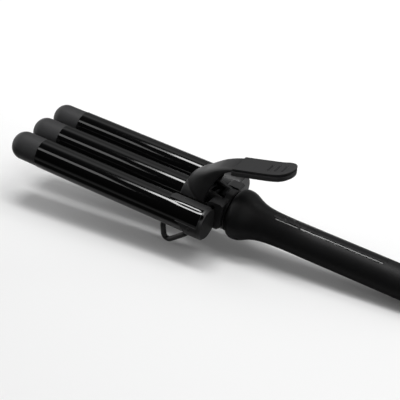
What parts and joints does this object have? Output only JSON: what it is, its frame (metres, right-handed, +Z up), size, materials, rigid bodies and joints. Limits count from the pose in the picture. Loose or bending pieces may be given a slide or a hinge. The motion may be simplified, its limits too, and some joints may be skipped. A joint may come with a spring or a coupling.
{
  "type": "hair waver",
  "caption": "Hair waver with three parallel heated barrels; squeezing the thumb lever tilts the middle barrel open, a wire stand folds out, and a round handle has a button strip.",
  "frame": {"origin": "on the surface that the waver rests on, under the middle of its bounding box", "axes": "+X from the barrel tips to the cord end of the handle, +Y across the barrels, +Z up, with the waver lying on its stand and the end of its handle"},
  "size_m": [0.3838, 0.0828, 0.0857],
  "materials": {
    "barrel_black": "aluminium tube with a high-gloss black ceramic coat",
    "matte_black": "finely textured matte black heat-resistant plastic",
    "heater_film": "ceramic heater plate wrapped in amber polyimide film",
    "raw_aluminium": "extruded bare aluminium",
    "lead_silicone": "silicone-insulated high-temperature lead",
    "yoke_black": "die-cast bracket with a satin black powder coat",
    "steel": "plain steel, fine turned finish",
    "screw_black": "steel screws with a black oxide finish",
    "stand_black": "steel wire with a satin black coat",
    "soft_touch": "soft-touch rubberised black coating",
    "gloss_black": "high-gloss piano black moulding",
    "lens_smoke": "smoked translucent lens",
    "board_green": "glass-fibre circuit board with green solder mask"
  },
  "bodies": {
    "handle": {"near_barrel": "barrel_black", "far_barrel": "barrel_black", "near_tip_cap": "matte_black", "far_tip_cap": "matte_black", "near_heater": "heater_film", "far_heater": "heater_film", "near_heat_spreaders": "raw_aluminium", "far_heat_spreaders": "raw_aluminium", "near_lead": "lead_silicone", "far_lead": "lead_silicone", "near_holder": "matte_black", "far_holder": "matte_black", "holder_screws": "screw_black", "yoke_frame": "yoke_black", "hinge_pin": "steel", "torsion_spring": "steel", "neck_ring": "soft_touch", "handle_upper_shell": "soft_touch", "handle_lower_shell": "soft_touch", "handle_screws": "steel", "control_strip": "gloss_black", "indicator_lens": "lens_smoke", "display_window": "gloss_black", "circuit_board": "board_green", "board_switches": "steel", "board_screws": "steel", "tail_cap": "soft_touch"},
    "jaw": {"middle_barrel": "barrel_black", "middle_tip_cap": "matte_black", "middle_heater": "heater_film", "middle_heat_spreaders": "raw_aluminium", "middle_end_plug": "matte_black", "lever_arm": "matte_black", "lever_pad": "soft_touch", "saddle_screws": "steel"},
    "stand": {"stand_wire": "stand_black"},
    "power_key": {"power_button": "gloss_black"},
    "minus_key": {"minus_button": "gloss_black"},
    "plus_key": {"plus_button": "gloss_black"},
    "gland": {"cord_gland": "matte_black"}
  },
  "joints": [
    {"name": "lever_hinge", "type": "hinge", "parent": "handle", "child": "jaw", "pos_m": [-0.00613, 0, 0.04195], "axis": [0, 1, 0], "range_deg": [0, 26], "stiffness_Nm_per_rad": 0.35, "springref_deg": -34.38, "deforming": ["torsion_spring"]},
    {"name": "stand_fold", "type": "hinge", "parent": "handle", "child": "stand", "pos_m": [-0.0232, 0, 0.01735], "axis": [0, 1, 0], "range_deg": [-120, 0]},
    {"name": "gland_swivel", "type": "hinge", "parent": "handle", "child": "gland", "pos_m": [0.18636, 0, 0.01235], "axis": [0.9949, 0, -0.1011], "continuous": true},
    {"name": "power_press", "type": "slide", "parent": "handle", "child": "power_key", "axis": [-0.1011, 0, -0.9949], "range_m": [0, 0.0006], "stiffness_N_per_m": 800, "springref_m": -0.0005},
    {"name": "minus_press", "type": "slide", "parent": "handle", "child": "minus_key", "axis": [-0.1011, 0, -0.9949], "range_m": [0, 0.0006], "stiffness_N_per_m": 800, "springref_m": -0.0005},
    {"name": "plus_press", "type": "slide", "parent": "handle", "child": "plus_key", "axis": [-0.1011, 0, -0.9949], "range_m": [0, 0.0006], "stiffness_N_per_m": 800, "springref_m": -0.0005}
  ]
}
